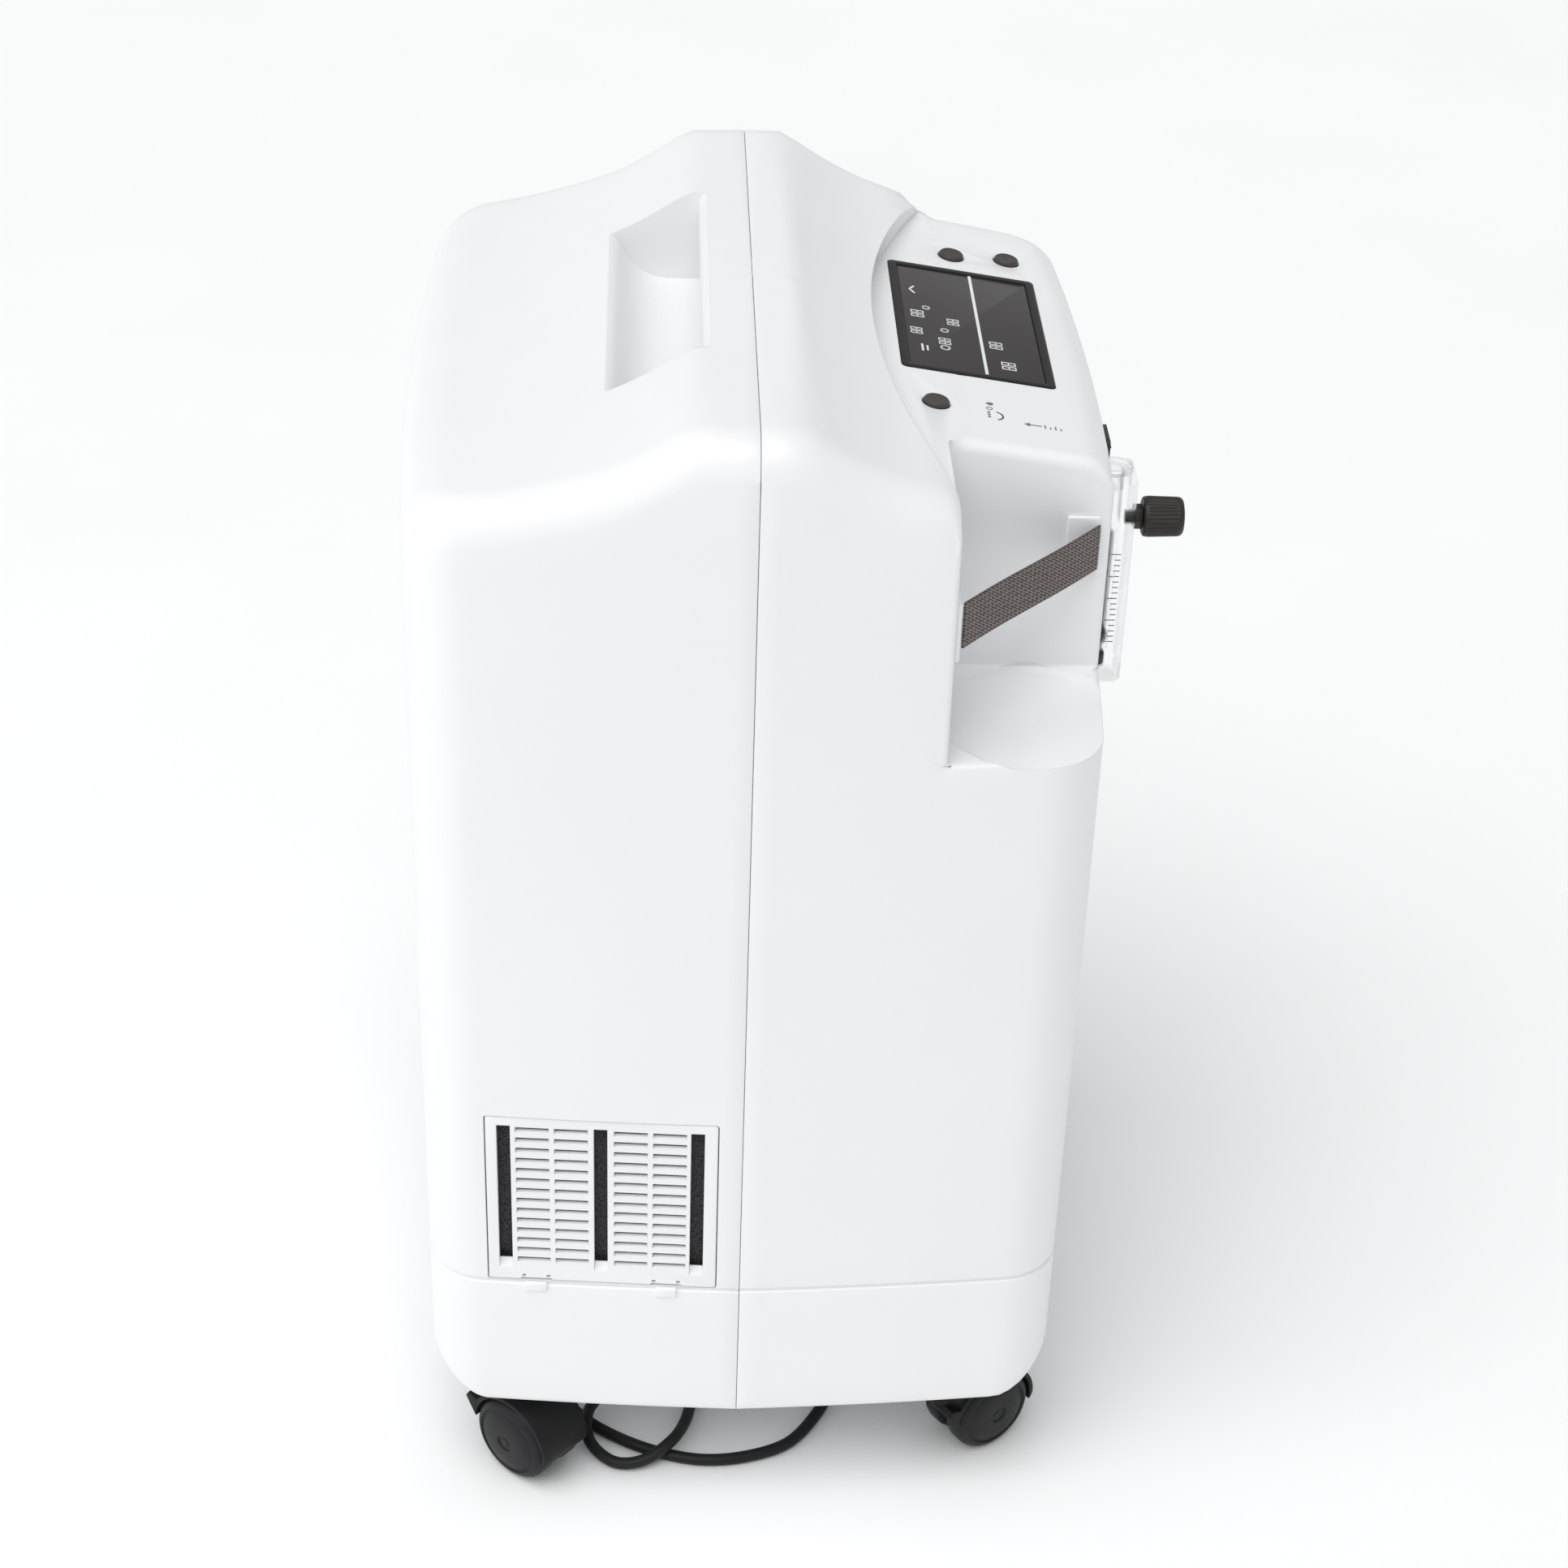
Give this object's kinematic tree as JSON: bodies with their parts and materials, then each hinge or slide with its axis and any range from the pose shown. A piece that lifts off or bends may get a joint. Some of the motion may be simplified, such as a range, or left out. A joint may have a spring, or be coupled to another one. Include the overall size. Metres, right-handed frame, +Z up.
{
  "type": "oxygen concentrator",
  "caption": "Upright white oxygen concentrator with a handle bar, sloping display console, corner bay with strap for a humidifier, flowmeter, side filter cover and swivel casters.",
  "frame": {"origin": "centre of the outline on the floor, without the mains cord", "axes": "+Z up, -Y towards the front face with the flowmeter, +X towards the right side seen from behind the machine"},
  "size_m": [0.38, 0.382, 0.65],
  "materials": {
    "cabinet_white": "satin moulded ABS, near white",
    "bezel_black": "gloss black window frame",
    "display_grey": "dark grey liquid crystal behind clear plastic",
    "button_grey": "fine matt dark grey",
    "switch_black": "fine matt black",
    "knob_black": "fluted matt black",
    "acrylic_clear": "clear polished acrylic",
    "steel": "bright steel",
    "brass": "turned brass",
    "strap_webbing": "dark brown-grey woven elastic",
    "foam_grey": "open-cell filter foam",
    "caster_black": "glass-filled nylon, black",
    "wheel_black": "dark grey polyurethane tread and nylon disc",
    "aluminium": "cast and drawn aluminium",
    "mount_rubber": "black rubber",
    "inner_white": "plain moulded plastic",
    "fan_black": "moulded black plastic",
    "copper": "drawn copper tube",
    "board_green": "circuit board with components",
    "tube_clear": "translucent silicone tube",
    "cord_black": "black flexible sheath"
  },
  "bodies": {
    "cabinet": {"base_tray": "cabinet_white", "compressor": "aluminium", "control_board": "board_green", "cord_coil": "cord_black", "cord_gland": "cord_black", "cord_tube": "cord_black", "display_panel": "display_grey", "fan_housing": "fan_black", "filter_foam": "foam_grey", "flowmeter_body": "acrylic_clear", "flowmeter_cap": "acrylic_clear", "front_shell": "cabinet_white", "heat_exchanger": "copper", "humidifier_strap": "strap_webbing", "intake_filter": "inner_white", "mains_plug": "cord_black", "oxygen_outlet": "steel", "power_switch_bezel": "switch_black", "pressure_regulator": "brass", "product_tank": "aluminium", "product_tube": "tube_clear", "rear_screw_lower_left": "steel", "rear_screw_lower_right": "steel", "rear_screw_upper_left": "steel", "rear_screw_upper_right": "steel", "rear_shell": "cabinet_white", "run_capacitor": "aluminium", "screen_bezel": "bezel_black", "sieve_bed_left": "aluminium", "sieve_bed_right": "aluminium", "sound_partition": "inner_white", "strap_anchor_front": "cabinet_white", "strap_anchor_rear": "cabinet_white", "valve_manifold": "brass", "vibration_mount": "mount_rubber"},
    "start_button": {"start_button": "button_grey"},
    "timer_button": {"timer_button": "button_grey"},
    "mode_button": {"mode_button": "button_grey"},
    "rocker": {"power_switch_rocker": "switch_black"},
    "flow_control": {"flow_knob": "knob_black", "flow_valve_stem": "brass"},
    "float": {"flowmeter_float": "steel"},
    "filter_door": {"filter_cover": "cabinet_white"},
    "fan": {"fan_rotor": "fan_black"},
    "swivel_rear_left": {"caster_rear_left_hood": "caster_black", "caster_rear_left_axle": "steel"},
    "wheel_rear_left_a": {"caster_rear_left_wheel_a": "wheel_black"},
    "wheel_rear_left_b": {"caster_rear_left_wheel_b": "wheel_black"},
    "swivel_front_left": {"caster_front_left_hood": "caster_black", "caster_front_left_axle": "steel"},
    "wheel_front_left_a": {"caster_front_left_wheel_a": "wheel_black"},
    "wheel_front_left_b": {"caster_front_left_wheel_b": "wheel_black"},
    "swivel_rear_right": {"caster_rear_right_hood": "caster_black", "caster_rear_right_axle": "steel"},
    "wheel_rear_right_a": {"caster_rear_right_wheel_a": "wheel_black"},
    "wheel_rear_right_b": {"caster_rear_right_wheel_b": "wheel_black"},
    "swivel_front_right": {"caster_front_right_hood": "caster_black", "caster_front_right_axle": "steel"},
    "wheel_front_right_a": {"caster_front_right_wheel_a": "wheel_black"},
    "wheel_front_right_b": {"caster_front_right_wheel_b": "wheel_black"}
  },
  "joints": [
    {"name": "start_button_press", "type": "slide", "parent": "cabinet", "child": "start_button", "axis": [0, 0.158, -0.9874], "range_m": [0, 0.001], "stiffness_N_per_m": 600},
    {"name": "timer_button_press", "type": "slide", "parent": "cabinet", "child": "timer_button", "axis": [0, 0.158, -0.9874], "range_m": [0, 0.001], "stiffness_N_per_m": 600},
    {"name": "mode_button_press", "type": "slide", "parent": "cabinet", "child": "mode_button", "axis": [0, 0.158, -0.9874], "range_m": [0, 0.001], "stiffness_N_per_m": 600},
    {"name": "power_switch_rock", "type": "hinge", "parent": "cabinet", "child": "rocker", "pos_m": [-0.03, -0.15225, 0.569], "axis": [1, 0, 0], "range_deg": [-12, 0]},
    {"name": "flow_knob_turn", "type": "hinge", "parent": "cabinet", "child": "flow_control", "pos_m": [-0.07, -0.179, 0.5516], "axis": [0, 1, 0], "range_deg": [0, 675]},
    {"name": "float_rise", "type": "slide", "parent": "cabinet", "child": "float", "axis": [0, 0, 1], "range_m": [0, 0.075]},
    {"name": "filter_cover_swing", "type": "hinge", "parent": "cabinet", "child": "filter_door", "pos_m": [-0.1854, 0.093, 0.2635], "axis": [0.0698, 0.9976, 0], "range_deg": [0, 40]},
    {"name": "fan_spin", "type": "hinge", "parent": "cabinet", "child": "fan", "pos_m": [-0.075, -0.051, 0.0843], "axis": [0, 0, 1], "continuous": true},
    {"name": "swivel_rear_left", "type": "hinge", "parent": "cabinet", "child": "swivel_rear_left", "pos_m": [-0.146, 0.147, 0.062], "axis": [0, 0, 1], "continuous": true},
    {"name": "spin_rear_left_a", "type": "hinge", "parent": "swivel_rear_left", "child": "wheel_rear_left_a", "pos_m": [-0.15828, 0.13384, 0.025], "axis": [0.7314, -0.682, 0], "continuous": true},
    {"name": "spin_rear_left_b", "type": "hinge", "parent": "swivel_rear_left", "child": "wheel_rear_left_b", "pos_m": [-0.15828, 0.13384, 0.025], "axis": [0.7314, -0.682, 0], "continuous": true},
    {"name": "swivel_front_left", "type": "hinge", "parent": "cabinet", "child": "swivel_front_left", "pos_m": [-0.146, -0.101, 0.062], "axis": [0, 0, 1], "continuous": true},
    {"name": "spin_front_left_a", "type": "hinge", "parent": "swivel_front_left", "child": "wheel_front_left_a", "pos_m": [-0.13568, -0.11575, 0.025], "axis": [0.8192, 0.5736, 0], "continuous": true},
    {"name": "spin_front_left_b", "type": "hinge", "parent": "swivel_front_left", "child": "wheel_front_left_b", "pos_m": [-0.13568, -0.11575, 0.025], "axis": [0.8192, 0.5736, 0], "continuous": true},
    {"name": "swivel_rear_right", "type": "hinge", "parent": "cabinet", "child": "swivel_rear_right", "pos_m": [0.146, 0.147, 0.062], "axis": [0, 0, 1], "continuous": true},
    {"name": "spin_rear_right_a", "type": "hinge", "parent": "swivel_rear_right", "child": "wheel_rear_right_a", "pos_m": [0.13984, 0.13009, 0.025], "axis": [0.9397, -0.342, 0], "continuous": true},
    {"name": "spin_rear_right_b", "type": "hinge", "parent": "swivel_rear_right", "child": "wheel_rear_right_b", "pos_m": [0.13984, 0.13009, 0.025], "axis": [0.9397, -0.342, 0], "continuous": true},
    {"name": "swivel_front_right", "type": "hinge", "parent": "cabinet", "child": "swivel_front_right", "pos_m": [0.146, -0.101, 0.062], "axis": [0, 0, 1], "continuous": true},
    {"name": "spin_front_right_a", "type": "hinge", "parent": "swivel_front_right", "child": "wheel_front_right_a", "pos_m": [0.13126, -0.11132, 0.025], "axis": [0.5736, -0.8192, 0], "continuous": true},
    {"name": "spin_front_right_b", "type": "hinge", "parent": "swivel_front_right", "child": "wheel_front_right_b", "pos_m": [0.13126, -0.11132, 0.025], "axis": [0.5736, -0.8192, 0], "continuous": true}
  ]
}
